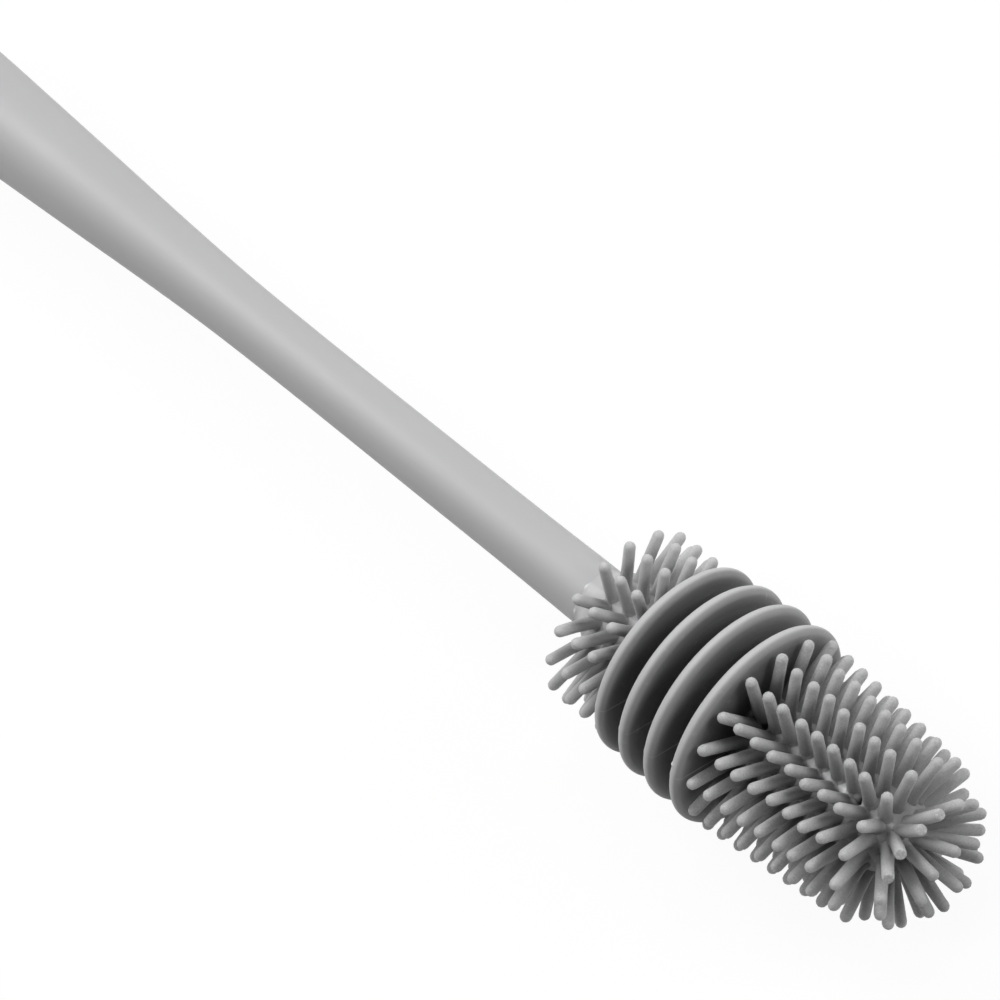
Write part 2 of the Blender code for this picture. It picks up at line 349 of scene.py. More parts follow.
def ridgeOffset(side, radius, angles):
    # The distance round the hub from one of the two ribs
    fromRidge = arcBetween(angles - math.radians(hub["ridgeDegrees"]), side)
    return fromRidge * np.maximum(radius, hub["ridgeEnd"])


def pitShare(station, radius, angles):
    # 1 inside a pit and 0 outside, with a steep round edge between
    share = 0
    for side in (0, math.pi):
        for pit in hub["pits"]:
            squared = ridgeOffset(side, radius, angles) ** 2 + (station - pit["station"]) ** 2
            share = share + np.exp(-((squared / pit["radius"] ** 2) ** 2))
    return share


def markHub(piece, profile, angles):
    # Values per point for the material: the painted highlight at a disc's rim edge, and nearness to a
    # scrap's middle and to a pit
    station, radius = profile[1:-1, :1], profile[1:-1, 1:]
    edge = np.zeros((len(station), len(angles)))
    for middle, rim in zip(discs["stations"], discs["radii"]):
        # The painted highlight lies more on the grip's side of the rim, where the light falls, than on the
        # tip's side.
        aside = (station - middle) / (discs["thickness"] / 2)
        lean = np.maximum(aside, discs["paleLimit"]) * discs["paleLean"]
        paleness = 1 - (rim - radius) / discs["paleEdge"] - lean
        edge = np.maximum(edge, np.where(np.abs(aside) < 1, np.minimum(paleness, 1), 0))
    scraps = sum(scrapShare(scrap, station, radius, angles[None, :]) for scrap in hub["scraps"])
    pits = pitShare(station, radius, angles[None, :])
    for name, values in (("rimHighlight", edge), ("scrap", scraps), ("pit", pits)):
        addValues(piece, name, np.concatenate([values.ravel(), [0, 0]]))


def hubLift(station, radius, angles):
    # A rounded rib, the mould's parting line, along the hub on two opposite sides,
    # a small swelling of each disc's rim where its own parting line ends, the scraps and the pits.
    alongHub = np.clip(1 - np.abs(radius - overall["hubRadius"]) / hub["ridgeClimb"], 0, 1)
    towardsPole = np.clip((radius - hub["ridgeEnd"]) / hub["ridgeEnd"], 0, 1)
    strength = np.where(station > overall["domeStation"], towardsPole, alongHub)
    total = np.zeros((len(station), angles.shape[1]))
    for side in (0, math.pi):
        offset = ridgeOffset(side, radius, angles)
        total += hub["ridgeHeight"] * np.exp(-((offset / hub["ridgeWidth"]) ** 2)) * strength
    onRim = np.clip((radius - discs["nubReach"]) / discs["nubRise"], 0, 1)
    offset = arcBetween(angles, math.radians(discs["nubDegrees"])) * radius
    total += discs["nubHeight"] * np.exp(-((offset / discs["nubWidth"]) ** 2)) * onRim
    for scrap in hub["scraps"]:
        total += scrap["height"] * scrapShare(scrap, station, radius, angles)
    pit = pitShare(station, radius, angles)
    return total * (1 - pit) - hub["pitDepth"] * pit


def hubAngles():
    # Even steps, with extra ones close to the parting lines and the rim's scrap, which come out round.
    even = np.linspace(0, math.tau, hub["segments"], endpoint=False)
    near = np.radians(hub["ridgeStepDegrees"])
    near = np.concatenate([-near, [0], near])
    ridge = math.radians(hub["ridgeDegrees"])
    atScrap = np.radians(hub["scrapStepDegrees"]) + math.radians(hub["scraps"][-1]["degrees"])
    angles = np.concatenate([even, ridge + near, ridge + near + math.pi, atScrap])
    return np.unique(np.round(np.mod(angles, math.tau), 5))


def makeHub():
    # A turned profile from the dome's pole over the discs and the neck to the sleeve's end
    base = overall["hubRadius"]
    quarter = np.linspace(0, 0.5 * math.pi, hub["domeSteps"] + 1)
    dome = np.stack([
        overall["domeStation"] + base * np.cos(quarter),
        base * np.sin(quarter),
    ], axis=1)
    straight = np.linspace(overall["domeStation"], 0, hub["straightRings"])[1:]
    parts = [dome, straightStretch(straight, base)]
    for station, radius in zip(discs["stations"][::-1], discs["radii"][::-1]):
        parts.append(discProfile(station, radius))
    neck = np.linspace(discs["stations"][0] - hub["neckMargin"], hub["flareEnd"], hub["neckRings"])[:-1]
    parts.append(straightStretch(neck, base))
    # Half a cosine wave takes the hub down to the sleeve that meets the grip's shoulder.
    share = np.linspace(0, 1, hub["flareRings"])
    parts.append(np.stack([
        hub["flareEnd"] + (hub["flareStart"] - hub["flareEnd"]) * share,
        hub["sleeveRadius"] + (base - hub["sleeveRadius"]) * (1 + np.cos(math.pi * share)) / 2,
    ], axis=1))
    # The sleeve's end is hidden just inside the grip's shoulder, and its last rings keep the shading even.
    sleeve = np.linspace(hub["flareStart"], overall["headStart"], hub["sleeveRings"])[1:]
    parts.append(straightStretch(sleeve, hub["sleeveRadius"]))
    parts.append(np.array([(overall["headStart"], 0)]))
    profile = np.concatenate(parts)
    angles = hubAngles()
    piece = turnedMesh("siliconeHub", profile, angles, hubLift)
    markHub(piece, profile, angles)
    facingOut(piece)
    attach(piece, "root")
    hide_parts("disc_1", "disc_2", "disc_3", "disc_4")
    return piece


# Silicone fingers

fingers = {
    "radius": 0.0012,
    "footRadius": 0.0013,
    "footFlare": 0.00055,
    "rootDepth": 0.0022,
    # Distances from the foot, with the share of the flare that is left there
    "footShape": [(0.0001, 0.7), (0.0007, 0.12)],
    # A round end's rings, in degrees from its widest place
    "roundDegrees": [0, 32, 60],
    # A cut end's rings: distance back from the end and radius, both as shares of the finger's radius
    "cutShape": [(0.35, 1), (0.08, 0.90), (0, 0.66)],
    # How far the last point of each kind of end lies past the finger's length
    "poleStep": {"round": 0.00005, "trimmed": -0.00012},
    "sides": 10,
    "sway": 0.00022,
    "swayAlong": 0.8,
    "bend": 0.00012,
    "cutRoughness": 0.00018,
    # A quarter of a ring: degrees from +Z towards +Y at the tip and at the foot
    "quarterRing": [(11.8, 8.2), (32.8, 30.0), (55.4, 57.5), (78.5, 74.5)],
    "neckStart": -0.0412,
    "neckPitch": 0.0048,
    "neckCount": 3,
    "neckReach": 0.0208,
    "frontPitch": 0.00412,
    "frontCount": 8,
    "frontGroups": 4,
    "frontReach": (0.0222, 0.0197),
    # The dome's rings: degrees from the axis at the tips and at the feet
    "outerDomeRing": (74.6, 69.5),
    "middleDomeRing": (47.0, 43.5),
    "innerDomeRing": (24.0, 21.0),
    "domeReach": 0.020,
    "trimmedReach": 0.0190,
    "trimmedDegrees": 45,
    "innerDomeCount": 8,
    "innerDomeTurn": 8.4,
    "innerDomeReach": 0.0204,
    "poleReach": 0.0209,
    "seed": 7,
}
chance = np.random.default_rng(fingers["seed"])


def ringAngles():
    quarter = fingers["quarterRing"]
    half = quarter + [(180 - tip, 180 - foot) for tip, foot in reversed(quarter)]
    return half + [(-tip, -foot) for tip, foot in reversed(half)]


def axisPoint(station, radius, degrees):
    # The point at a station, at this radius and angle from +Z towards +Y
    turn = math.radians(degrees)
    return np.array([place(station), radius * math.sin(turn), radius * math.cos(turn)])


def domePoint(radius, polar, degrees):
    # The point on a sphere round the dome's centre, at a polar angle from the axis
    station = overall["domeStation"] + radius * math.cos(polar)
    return axisPoint(station, radius * math.sin(polar), degrees)


def straightRing(station, reach):
    ring = []
    for tip, foot in ringAngles():
        start = axisPoint(station, overall["hubRadius"], foot)
        ring.append((start, axisPoint(station, reach, tip), "round"))
    return ring


def domeRing(polar, angles, reach, trimmedReach=None):
    # Where the ring has a trimmed reach, its fingers near the top are shorter, with cut ends.
    endPolar, footPolar = np.radians(polar)
    ring = []
    for tip, foot in angles:
        trimmed = trimmedReach is not None and abs(tip) < fingers["trimmedDegrees"]
        end = domePoint(trimmedReach if trimmed else reach, endPolar, tip)
        start = domePoint(overall["hubRadius"], footPolar, foot)
        ring.append((start, end, "trimmed" if trimmed else "round"))
    return ring


def fingerProfile(length, kind):
    # Pairs of distance from the foot and radius, from inside the hub to the end
    radius = fingers["radius"]
    foot = fingers["footRadius"]
    flare = fingers["footFlare"]
    profile = [(-fingers["rootDepth"], foot + flare)]
    profile += [(distance, foot + flare * share) for distance, share in fingers["footShape"]]
    profile.append((length / 2, (foot + radius) / 2))
    if kind == "round":
        for turn in np.radians(fingers["roundDegrees"]):
            profile.append((length - radius + radius * math.sin(turn), radius * math.cos(turn)))
    else:
        profile += [(length - radius * back, radius * share) for back, share in fingers["cutShape"]]
    return np.array(profile)


def fingerPoints(foot, end, kind):
    # Rings round the line from foot to end, and a pole. The line's middle is moved a little to one side,
    # by a parabola that is 0 at both ends.
    line = end - foot
    length = np.linalg.norm(line)
    along = line / length
    helper = np.array([1.0, 0, 0]) if abs(along[0]) < 0.8 else np.array([0, 1.0, 0])
    side = np.cross(along, helper)
    side /= np.linalg.norm(side)
    other = np.cross(along, side)
    profile = fingerProfile(length, kind)
    turns = np.linspace(0, math.tau, fingers["sides"], endpoint=False)
    bendTurn = chance.uniform(0, math.tau)
    bendAxis = side * math.cos(bendTurn) + other * math.sin(bendTurn)
    bend = fingers["bend"] * chance.uniform(0, 1) * 4 * profile[:, 0] * (length - profile[:, 0]) / length**2
    centres = foot + along * profile[:, :1] + bendAxis * bend[:, None]
    circle = side[None, :] * np.cos(turns)[:, None] + other[None, :] * np.sin(turns)[:, None]
    rings = centres[:, None, :] + circle[None, :, :] * profile[:, 1][:, None, None]
    cutEnd = np.zeros(len(profile) * fingers["sides"] + 1)
    if kind == "trimmed":
        rough = chance.uniform(-1, 1, fingers["sides"]) * fingers["cutRoughness"]
        rings[-1] += along * rough[:, None]
        cutEnd[-2 * fingers["sides"] - 1:] = 1
    pole = foot + along * (length + fingers["poleStep"][kind])
    return np.concatenate([rings.reshape(-1, 3), pole[None, :]]), cutEnd, len(profile)


def makeFingers(name, ring, nodes):
    points = []
    faces = []
    cutEnds = []
    count = 0
    sides = fingers["sides"]
    for foot, end, kind in ring:
        sway = chance.normal(0, fingers["sway"], 3)
        sway[0] *= fingers["swayAlong"]
        line = end - foot
        tip = foot + (line + sway) * np.linalg.norm(line) / np.linalg.norm(line + sway)
        own, cutEnd, rows = fingerPoints(foot, tip, kind)
        faces += gridFaces(rows, sides, count)
        last = count + (rows - 1) * sides
        for side in range(sides):
            faces.append((last + side, last + (side + 1) % sides, count + len(own) - 1))
        faces.append(tuple(count + side for side in reversed(range(sides))))
        points.append(own)
        cutEnds.append(cutEnd)
        count += len(own)
    piece = facingOut(addMesh(name, np.concatenate(points), faces))
    addValues(piece, "cutEnd", np.concatenate(cutEnds))
    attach(piece, "root")
    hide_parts(*nodes)
    return piece


def makeAllFingers():
    neck = []
    for ring in range(fingers["neckCount"]):
        neck += straightRing(fingers["neckStart"] + ring * fingers["neckPitch"], fingers["neckReach"])
    pieces = [makeFingers("neckFingers", neck, ["neck_fingers"])]
    first, last = fingers["frontReach"]
    ringsEach = fingers["frontCount"] // fingers["frontGroups"]
    for group in range(fingers["frontGroups"]):
        front = []
        for ring in range(group * ringsEach, (group + 1) * ringsEach):
            reach = first + (last - first) * ring / (fingers["frontCount"] - 1)
            front += straightRing(ring * fingers["frontPitch"], reach)
        pieces.append(makeFingers(f"frontFingers{group + 1}", front, [f"front_fingers_{group + 1}"]))
    tip = domeRing(fingers["outerDomeRing"], ringAngles(), last)
    tip += domeRing(fingers["middleDomeRing"], ringAngles(), fingers["domeReach"], fingers["trimmedReach"])
    step = 360 / fingers["innerDomeCount"]
    turns = [(i + 0.5) * step + fingers["innerDomeTurn"] for i in range(fingers["innerDomeCount"])]
    tip += domeRing(fingers["innerDomeRing"], [(turn, turn) for turn in turns], fingers["innerDomeReach"])
    tip += domeRing((0, 0), [(0, 0)], fingers["poleReach"])
    pieces.append(makeFingers("tipFingers", tip, ["tip_fingers"]))
    return pieces


# Materials

def feed(slot, value):
    # A wire is linked to the node's input, and any other value is set there.
    if isinstance(value, Wire):
        value.tree.links.new(value.socket, slot)
    else:
        slot.default_value = value


class Wire:
    # Wraps one socket, so that sums and products of wires read as expressions.
    def __init__(self, tree, socket):
        self.tree = tree
        self.socket = socket

    def maths(self, operation, *values):
        node = self.tree.nodes.new("ShaderNodeMath")
        node.operation = operation
        for slot, value in zip(node.inputs, values):
            feed(slot, value)
        return Wire(self.tree, node.outputs[0])

    def __add__(self, other):
        return self.maths("ADD", self, other)

    __radd__ = __add__

    def __mul__(self, other):
        return self.maths("MULTIPLY", self, other)

    __rmul__ = __mul__

    def __sub__(self, other):
        return self.maths("SUBTRACT", self, other)

    def __rsub__(self, other):
        return self.maths("SUBTRACT", other, self)

    def root(self):
        return self.maths("SQRT", self)

    def size(self):
        return self.maths("ABSOLUTE", self)

    def atLeast(self, other):
        return self.maths("MAXIMUM", self, other)

    def atMost(self, other):
        return self.maths("MINIMUM", self, other)

    def fade(self, low, high):
        # 0 at low, 1 at high and eased between them
        node = self.tree.nodes.new("ShaderNodeMapRange")
        node.interpolation_type = "SMOOTHSTEP"
        feed(node.inputs["Value"], self)
        feed(node.inputs["From Min"], low)
        feed(node.inputs["From Max"], high)
        return Wire(self.tree, node.outputs["Result"])


class Paint:
    # One material: its tree, its Principled shader and a method that adds any node.
    def __init__(self, name):
        self.material = bpy.data.materials.new(name)
        self.material.use_nodes = True
        self.tree = self.material.node_tree
        self.shader = self.tree.nodes["Principled BSDF"]

    def node(self, kind, settings=None, output=0, **values):
        made = self.tree.nodes.new(kind)
        for key, value in (settings or {}).items():
            setattr(made, key, value)
        for key, value in values.items():
            feed(made.inputs[key.replace("_", " ")], value)
        return Wire(self.tree, made.outputs[output])

    def coordinates(self):
        return self.node("ShaderNodeTexCoord", output="Object")

    def axes(self, vector):
        return [self.node("ShaderNodeSeparateXYZ", output=axis, Vector=vector) for axis in "XYZ"]

    def pointValue(self, name):
        return self.node("ShaderNodeAttribute", {"attribute_name": name}, output="Fac")

    def noise(self, vector, scale, detail=2.0, roughness=0.5):
        values = {"Scale": scale, "Detail": detail, "Roughness": roughness}
        return self.node("ShaderNodeTexNoise", Vector=vector, **values)

    def mix(self, factor, first, second):
        # A Mix node that is set to colours has its factor and colours at inputs 0, 6 and 7.
        made = self.tree.nodes.new("ShaderNodeMix")
        made.data_type = "RGBA"
        for slot, value in zip((0, 6, 7), (factor, first, second)):
            feed(made.inputs[slot], value)
        return Wire(self.tree, made.outputs[2])

    def join(self, value, slot):
        feed(self.shader.inputs[slot], value)

    def joinAll(self, values):
        for slot, value in values.items():
            self.join(value, slot)

    def bump(self, height, distance, strength):
        made = self.node("ShaderNodeBump", Height=height, Distance=distance, Strength=strength)
        self.join(made, "Normal")


def alongBrush(x, stations):
    # 0 before the first station, 1 past the last and eased between them
    first, last = stations
    return x.fade(float(place(first)), float(place(last)))


def besidePlane(y, z, degrees):
    # The distance from the plane through the axis at this angle from +Z towards +Y
    turn = math.radians(degrees)
    return (y * math.cos(turn) - z * math.sin(turn)).size()


def weightedSum(weights, start=0, **wires):
    # The start plus each wire times its weight
    return sum((wires[name] * weight for name, weight in weights.items()), start)


siliconeLook = {
    # Painted shade and light: deep darkens the silicone near the hub, and tips pales its thin ends.
    "deep": (0.165, 0.165, 0.167, 1),
    # Painted shade between the discs, darker than deep.
    "discs": (0.125, 0.125, 0.127, 1),
    "tips": (0.52, 0.52, 0.523, 1),
    # Pale for dust and the seam, and for the painted highlight on the rib and the cut ends.
    "paleWearAndHighlight": (0.64, 0.64, 0.644, 1),
    "neck": (0.62, 0.62, 0.623, 1),
    # Near white for the scraps, a painted highlight on all but the rim's flash.
    "scrap": (0.85, 0.85, 0.853, 1),
    # Painted shade, in the pits and beside the last disc.
    "pit": (0.02, 0.02, 0.02, 1),
    # Noises: scale per metre, detail and roughness
    "cloud": (55, 3),
    "grain": (1400, 2),
    "speckle": (2800, 2),
    "turned": (1700, 3),
    "dust": (420, 4, 0.65),
    "crumbsAndGlints": (2600, 3, 0.7),
    # The cloud shifts the turned marks by this much, and the last two noises count only above a level.
    "turnedShift": 0.002,
    "dustLevels": (0.60, 0.80),
    "crumbLevels": (0.42, 0.62),
    # Reaches, which are distances from the axis, or from the dome's centre past it
    "outwardReach": (0.007, 0.021),
    "rimReach": (0.0185, 0.0222),
    "domeReach": (0.016, 0.019),
    "lipReach": (0.0088, 0.0105),
    "feetReach": (0.011, 0.020),
    "ridgeReach": (0.0094, 0.0104),
    # Distances past the dome's centre; the cone round the pole opens by this slope.
    "pastDome": (0, 0.006),
    "poleSlope": 0.7,
    "poleEdge": (-0.0005, 0.002),
    # Stations, and distances from the discs' middle and past the last pit
    "discMiddle": -0.0148,
    "discEnd": (0.0132, 0.0140),
    "neckEnd": (-0.0315, -0.0285),
    "lipEnd": (-0.0462, -0.0415),
    "hubFront": (-0.001, 0.012),
    "feetStart": (-0.0032, -0.0026),
    "feetEnd": (0.0012, 0.0032),
    "ridgeRise": (0.001, 0.022),
    "pitPassed": (0.001, 0.003),
    # Distances from the seam's plane, along it, and from the rib's plane
    "seamEdge": (0.00006, 0.00026),
    "seamStart": (0.009, 0.012),
    "ridgeEdge": (0.0004, 0.0013),
    # How much each cause adds or takes away, and the most that some of them reach
    "shares": {
        "outward": 0.8,
        "rims": 0.38,
        "rimHighlight": 0.6,
        "dome": 0.08,
        "cloud": 0.2,
        "speckleOutward": 0.8,
        "speckleInside": 0.1,
        "speckleLostOnDiscs": 0.9,
        "turned": 0.3,
        "poleLoss": 0.3,
        "neck": 0.4,
        "lip": 0.35,
        "dust": 0.22,
        "crumbsAndGlints": 0.8,
        "seamCloud": 0.9,
        "seamMost": 0.5,
        "seamLostOnRims": 0.6,
        "feet": 0.5,
        "ridge": 0.95,
        "ridgeLostPastPit": 0.65,
        "ridgeOnNeck": 0.6,
        "scrapMost": 0.9,
        "pitShadeGain": 1.5,
    },
    "roughness": 0.50,
    "roughnessShares": {"cloud": 0.10, "grain": 0.08},
    "bumpShares": {"grain": 0.35, "cloud": 0.4, "seam": 0.9, "torn": 2.0},
    "bumpDistance": 0.00005,
    "bumpStrength": 0.6,
    "shader": {
        "Subsurface Weight": 0.05,
        "Subsurface Radius": (0.0011, 0.0011, 0.0011),
        "Subsurface Scale": 1.0,
        "Specular IOR Level": 0.25,
    },
}


def siliconeMaterial():
    look = siliconeLook
    share = look["shares"]
    paint = Paint("siliconeGrey")
    spot = paint.coordinates()
    x, y, z = paint.axes(spot)
    pastDome = (x - float(place(overall["domeStation"]))).atLeast(0)
    fromAxis = (y * y + z * z).root()
    reach = (fromAxis * fromAxis + pastDome * pastDome).root()
    cloud = paint.noise(spot, *look["cloud"])
    grain = paint.noise(spot, *look["grain"])
    # Painted light and shade: the colour pales outward, where thin ends would let light through, and
    # darkens towards the thick hub, where shade falls.
    outward = reach.fade(*look["outwardReach"])
    onDiscs = 1 - (x - float(place(look["discMiddle"]))).size().fade(*look["discEnd"])
    rims = reach.fade(*look["rimReach"])
    # Painted highlight on the discs' rims, brightest along the edge on the grip's side, where the light
    # falls.
    paintedRimLight = (rims * share["rims"] + paint.pointValue("rimHighlight") * share["rimHighlight"]) * onDiscs
    onDome = pastDome.fade(*look["pastDome"]) * (1 - reach.fade(*look["domeReach"]))
    paleness = outward * (1 - onDiscs) * share["outward"] + paintedRimLight
    paleness = paleness + onDome * share["dome"] + cloud * share["cloud"]
    # A fine speckle, about a third of a millimetre across, is strongest outward and faint on the discs.
    speckle = paint.noise(spot, *look["speckle"]) - 0.5
    speckle = speckle * (outward * share["speckleOutward"] + share["speckleInside"])
    paleness = paleness + speckle * (1 - onDiscs * share["speckleLostOnDiscs"])
    # Faint marks run round the discs, from the turned mould, and come and go with the cloud.
    across = paint.node("ShaderNodeCombineXYZ", X=reach, Y=x, Z=cloud * look["turnedShift"])
    turned = (paint.noise(across, *look["turned"]) - 0.5) * cloud
    paleness = paleness + turned * onDiscs * share["turned"]
    # The fingers round the dome's pole are a little darker than the rest.
    nearPole = (pastDome * look["poleSlope"] - fromAxis).fade(*look["poleEdge"])
    paleness = paleness * (1 - nearPole * share["poleLoss"])
    neck = 1 - alongBrush(x, look["neckEnd"])
    pastDiscs = alongBrush(x, look["hubFront"])
    # Painted shade: between the discs the deep colour is darker still.
    colour = paint.mix((1 - pastDiscs) * (1 - neck), look["deep"], look["discs"])
    colour = paint.mix(paleness, colour, look["tips"])
    # The neck is paler all over, and palest at the sleeve's lip.
    nearLip = (1 - reach.fade(*look["lipReach"])) * (1 - alongBrush(x, look["lipEnd"]))
    colour = paint.mix(neck * share["neck"] + nearLip * share["lip"], colour, look["neck"])
    dust = paint.noise(spot, *look["dust"]).fade(*look["dustLevels"])
    colour = paint.mix(dust * share["dust"], colour, look["paleWearAndHighlight"])
    # Cut ends are rough, with torn edges; their pale specks are partly torn silicone and partly a painted
    # highlight where the edges catch the light.
    torn = paint.pointValue("cutEnd") * paint.noise(spot, *look["crumbsAndGlints"]).fade(*look["crumbLevels"])
    colour = paint.mix(torn * share["crumbsAndGlints"], colour, look["paleWearAndHighlight"])
    # A faint radial line crosses each disc on one side, where the mould's halves met.
    nub = math.radians(discs["nubDegrees"])
    onSide = (y * math.sin(nub) + z * math.cos(nub)).fade(*look["seamStart"])
    seam = (1 - besidePlane(y, z, discs["nubDegrees"]).fade(*look["seamEdge"])) * onSide * onDiscs
    seam = seam * (1 - rims * share["seamLostOnRims"])
    seamPaleness = seam * (cloud * share["seamCloud"]).atMost(share["seamMost"])
    colour = paint.mix(seamPaleness, colour, look["paleWearAndHighlight"])
    # Painted shade beside the last disc, darkest at the feet of the first fingers.
    besideDisc = alongBrush(x, look["feetStart"]) - alongBrush(x, look["feetEnd"])
    inShade = besideDisc * (1 - reach.fade(*look["feetReach"]))
    colour = paint.mix(inShade * share["feet"], colour, look["pit"])
    # The thin rib along the hub is paler, partly its own flash and partly a painted highlight, growing
    # paler towards the tip, less so past the last pit, and on the neck.
    besideRidge = besidePlane(y, z, hub["ridgeDegrees"])
    onRidge = (1 - besideRidge.fade(*look["ridgeEdge"])) * (1 - reach.fade(*look["ridgeReach"]))
    onRidge = onRidge * fromAxis.fade(hub["ridgeEnd"], 2 * hub["ridgeEnd"])
    lastPit = hub["pits"][-1]["station"]
    pastPit = alongBrush(x, [lastPit + distance for distance in look["pitPassed"]])
    ridgeFlashAndHighlight = share["ridge"] - pastPit * share["ridgeLostPastPit"]
    ridgeFlashAndHighlight = alongBrush(x, look["ridgeRise"]) * ridgeFlashAndHighlight + neck * share["ridgeOnNeck"]
    colour = paint.mix(onRidge * ridgeFlashAndHighlight, colour, look["paleWearAndHighlight"])
    # The scraps are painted near white, a painted highlight on those at the sleeve's end and near the last
    # pit.
    colour = paint.mix(paint.pointValue("scrap").atMost(share["scrapMost"]), colour, look["scrap"])
    # Painted shade darkens the pits.
    colour = paint.mix((paint.pointValue("pit") * share["pitShadeGain"]).atMost(1), colour, look["pit"])
    paint.join(colour, "Base Color")
    roughness = weightedSum(look["roughnessShares"], look["roughness"], cloud=cloud, grain=grain)
    paint.join(roughness, "Roughness")
    height = weightedSum(look["bumpShares"], grain=grain, cloud=cloud, seam=seam, torn=torn)
    paint.bump(height, look["bumpDistance"], look["bumpStrength"])
    paint.joinAll(look["shader"])
    return paint.material


gripLook = {
    "base": (0.475, 0.475, 0.481, 1),
    "dull": (0.450, 0.450, 0.456, 1),
    "scuff": (0.60, 0.60, 0.61, 1),
    # Noises: scale per metre, detail and roughness; the drawn one's scale is spread over the axes.
    "cloud": (30, 3),
    "grain": (1800, 2),
    "drawn": (1.0, 2),
    "drawnAxes": (120, 1500, 1500),
    "scuffs": (260, 5, 0.7),
    "scuffLevels": (0.66, 0.80),
    "scuffShare": 0.15,
    "roughness": 0.42,
    "roughnessShares": {"cloud": 0.08, "drawn": 0.08, "scuffs": 0.06},
    "bumpShares": {"grain": 0.25, "drawn": 0.35, "cloud": 0.2},
    "bumpDistance": 0.00003,
    "bumpStrength": 0.5,
    "shader": {
        "Subsurface Weight": 0.05,
        "Subsurface Radius": (0.001, 0.001, 0.001),
        "Subsurface Scale": 1.0,
    },
}


def gripMaterial():
    look = gripLook
    paint = Paint("gripPlastic")
    spot = paint.coordinates()
    cloud = paint.noise(spot, *look["cloud"])
    # Very fine marks drawn out along the grip, from the mould's polishing
    stretched = paint.node("ShaderNodeMapping", Vector=spot, Scale=look["drawnAxes"])
    drawn = paint.noise(stretched, *look["drawn"])
    grain = paint.noise(spot, *look["grain"])
    colour = paint.mix(cloud, look["base"], look["dull"])
    scuffs = paint.noise(spot, *look["scuffs"]).fade(*look["scuffLevels"])
    colour = paint.mix(scuffs * look["scuffShare"], colour, look["scuff"])
    paint.join(colour, "Base Color")
    wires = {"cloud": cloud, "drawn": drawn, "scuffs": scuffs, "grain": grain}
    paint.join(weightedSum(look["roughnessShares"], look["roughness"], **wires), "Roughness")
    paint.bump(weightedSum(look["bumpShares"], **wires), look["bumpDistance"], look["bumpStrength"])
    paint.joinAll(look["shader"])
    return paint.material


rodLook = {
    "bright": (0.56, 0.57, 0.58, 1),
    "stained": (0.47, 0.48, 0.49, 1),
    "lines": (1.0, 3),
    "lineAxes": (40, 2500, 2500),
    "stain": (90, 4),
    "roughness": 0.24,
    "roughnessShares": {"lines": 0.14, "stain": 0.08},
    "bumpDistance": 0.00002,
    "bumpStrength": 0.4,
    "shader": {"Metallic": 1.0},
}


def rodMaterial():
    look = rodLook
    paint = Paint("drawnSteel")
    spot = paint.coordinates()
    stretched = paint.node("ShaderNodeMapping", Vector=spot, Scale=look["lineAxes"])
    lines = paint.noise(stretched, *look["lines"])
    stain = paint.noise(spot, *look["stain"])
    paint.join(paint.mix(stain, look["bright"], look["stained"]), "Base Color")
    roughness = weightedSum(look["roughnessShares"], look["roughness"], lines=lines, stain=stain)
    paint.join(roughness, "Roughness")
    paint.bump(lines, look["bumpDistance"], look["bumpStrength"])
    paint.joinAll(look["shader"])
    return paint.material


def dress(piece, material):
    piece.data.materials.clear()
    piece.data.materials.append(material)


# Stage

camera = {
    "position": (0.40658, -0.04083, 0.61213),
    "right": (0.66927, 0.65081, -0.3585),
    "up": (-0.53375, 0.75677, 0.37737),
    "back": (0.5169, -0.06122, 0.85385),
    "lens": 126,
    "sensor": 36,
    "nearest": 0.01,
    "farthest": 20,
}

lamps = {
    "target": (0.08, 0, 0),
    "distance": 2.6,
    "size": 1.0,
    # Name, shares of the camera's right, up and back that the lamp stands off by, and power
    "each": [
        ("keyLight", (-0.7, 0.7, 0.2), 32),
        ("topLight", (0, 0.7, 0.7), 18),
        ("leftLight", (-0.7, 0.2, 0.7), 19.2),
        ("rightLight", (0.6, 0.3, 0.74), 20),
        ("farLight", (0.7, 0.7, 0.2), 9.6),
    ],
}

studio = {
    "floorSize": 3.0,
    "floorGlow": 1.02,
    "floorShader": {"Base Color": (0.8, 0.8, 0.8, 1), "Roughness": 0.9, "Specular IOR Level": 0.0},
    # Shares of plain white: what the camera sees of the floor, and what glossy rays see of floor and world
    "floorSeen": 0.92,
    "mirrored": 0.3,
    "worldLight": 0.04,
}


def makeCamera():
    data = bpy.data.cameras.new("camera")
    data.lens = camera["lens"]
    data.sensor_width = camera["sensor"]
    data.clip_start = camera["nearest"]
    data.clip_end = camera["farthest"]
    viewer = bpy.data.objects.new("camera", data)
    columns = [camera["right"], camera["up"], camera["back"]]
    matrix = Matrix([[column[row] for column in columns] for row in range(3)]).to_4x4()
    matrix.translation = camera["position"]
    viewer.matrix_world = matrix
    bpy.context.scene.collection.objects.link(viewer)
    bpy.context.scene.camera = viewer


def makeLamps():
    axes = np.array([camera["right"], camera["up"], camera["back"]])
    for name, aim, power in lamps["each"]:
        data = bpy.data.lights.new(name, "AREA")
        data.shape = "DISK"
        data.size = lamps["size"]
        data.energy = power
        lamp = bpy.data.objects.new(name, data)
        away = Vector(np.array(aim) @ axes).normalized()
        turn = away.to_track_quat("Z", "Y").to_matrix().to_4x4()
        lamp.matrix_world = Matrix.Translation(Vector(lamps["target"]) + away * lamps["distance"]) @ turn
        bpy.context.scene.collection.objects.link(lamp)


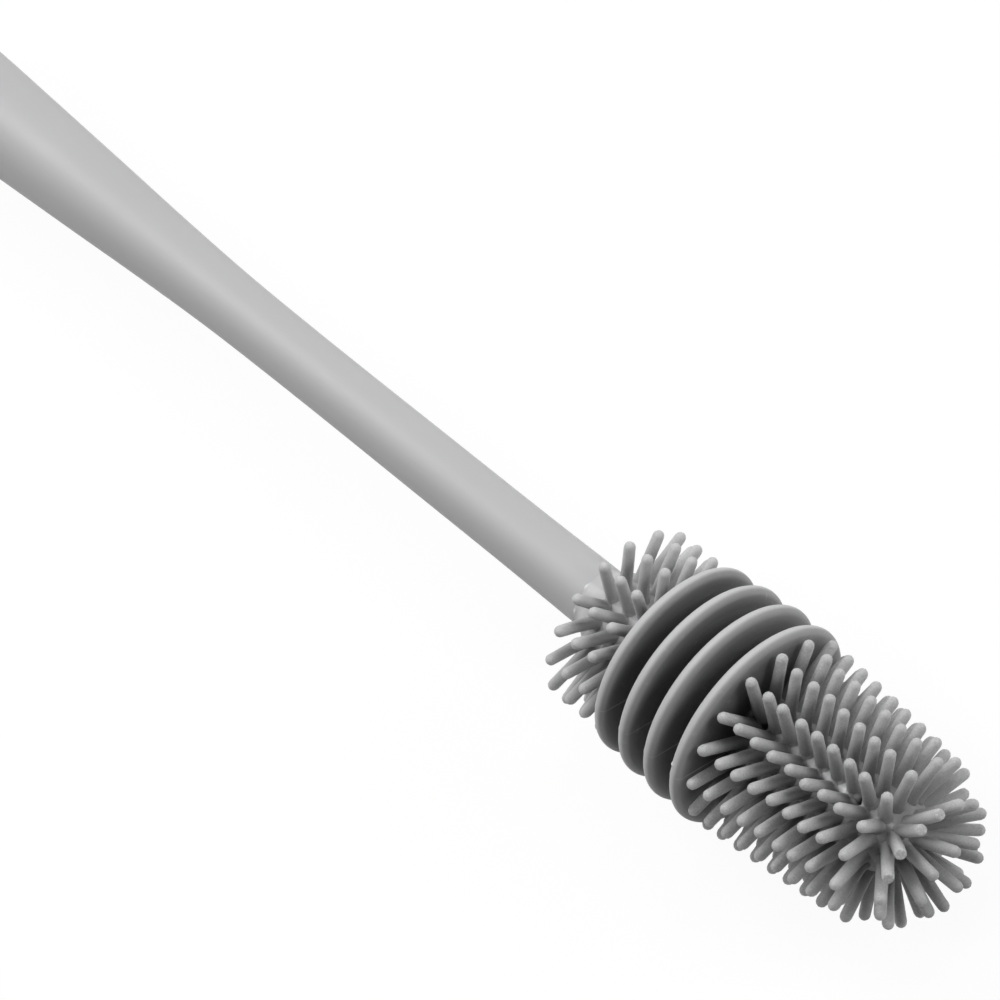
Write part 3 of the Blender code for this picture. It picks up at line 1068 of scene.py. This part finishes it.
def whiteShare(tree, seenShare):
    # How much of a plain white a ray finds, by its kind; one that passes through a piece finds all of it.
    path = tree.nodes.new("ShaderNodeLightPath")
    seen = Wire(tree, path.outputs["Is Camera Ray"])
    mirrored = Wire(tree, path.outputs["Is Glossy Ray"])
    through = Wire(tree, path.outputs["Is Transmission Ray"])
    return (seen * seenShare).atLeast((mirrored * studio["mirrored"]).atLeast(through))


def makeFloor():
    size = studio["floorSize"]
    low = -max(discs["radii"])
    mesh = bpy.data.meshes.new("floor")
    corners = [(-size, -size, low), (size, -size, low), (size, size, low), (-size, size, low)]
    mesh.from_pydata(corners, [], [(0, 1, 2, 3)])
    floor = bpy.data.objects.new("floor", mesh)
    bpy.context.scene.collection.objects.link(floor)
    paint = Paint("floorWhite")
    paint.joinAll(studio["floorShader"])
    white = paint.node("ShaderNodeEmission", Color=(1, 1, 1, 1), Strength=studio["floorGlow"])
    blend = paint.tree.nodes.new("ShaderNodeMixShader")
    feed(blend.inputs[0], whiteShare(paint.tree, studio["floorSeen"]))
    feed(blend.inputs[1], Wire(paint.tree, paint.shader.outputs[0]))
    feed(blend.inputs[2], white)
    output = paint.tree.nodes["Material Output"]
    feed(output.inputs["Surface"], Wire(paint.tree, blend.outputs[0]))
    dress(floor, paint.material)


def makeWorld():
    world = bpy.data.worlds.new("studio")
    world.use_nodes = True
    tree = world.node_tree
    background = tree.nodes["Background"]
    feed(background.inputs["Color"], (1, 1, 1, 1))
    light = studio["worldLight"]
    feed(background.inputs["Strength"], whiteShare(tree, 1) * (1 - light) + light)
    bpy.context.scene.world = world


gripPiece = makeGrip()
print("grip made")
hubPiece = makeHub()
print("hub and discs made")
fingerPieces = makeAllFingers()
print("fingers made", sum(len(piece.data.polygons) for piece in fingerPieces))
silicone = siliconeMaterial()
dress(gripPiece, gripMaterial())
for piece in [hubPiece] + fingerPieces:
    dress(piece, silicone)
rod = bpy.data.objects["core_rod"]
rodSteel = rodMaterial()
for slot in rod.material_slots:
    slot.material = rodSteel
print("materials made")
makeCamera()
makeLamps()
makeFloor()
makeWorld()
bpy.context.scene.view_settings.view_transform = "Standard"
print("stage made")
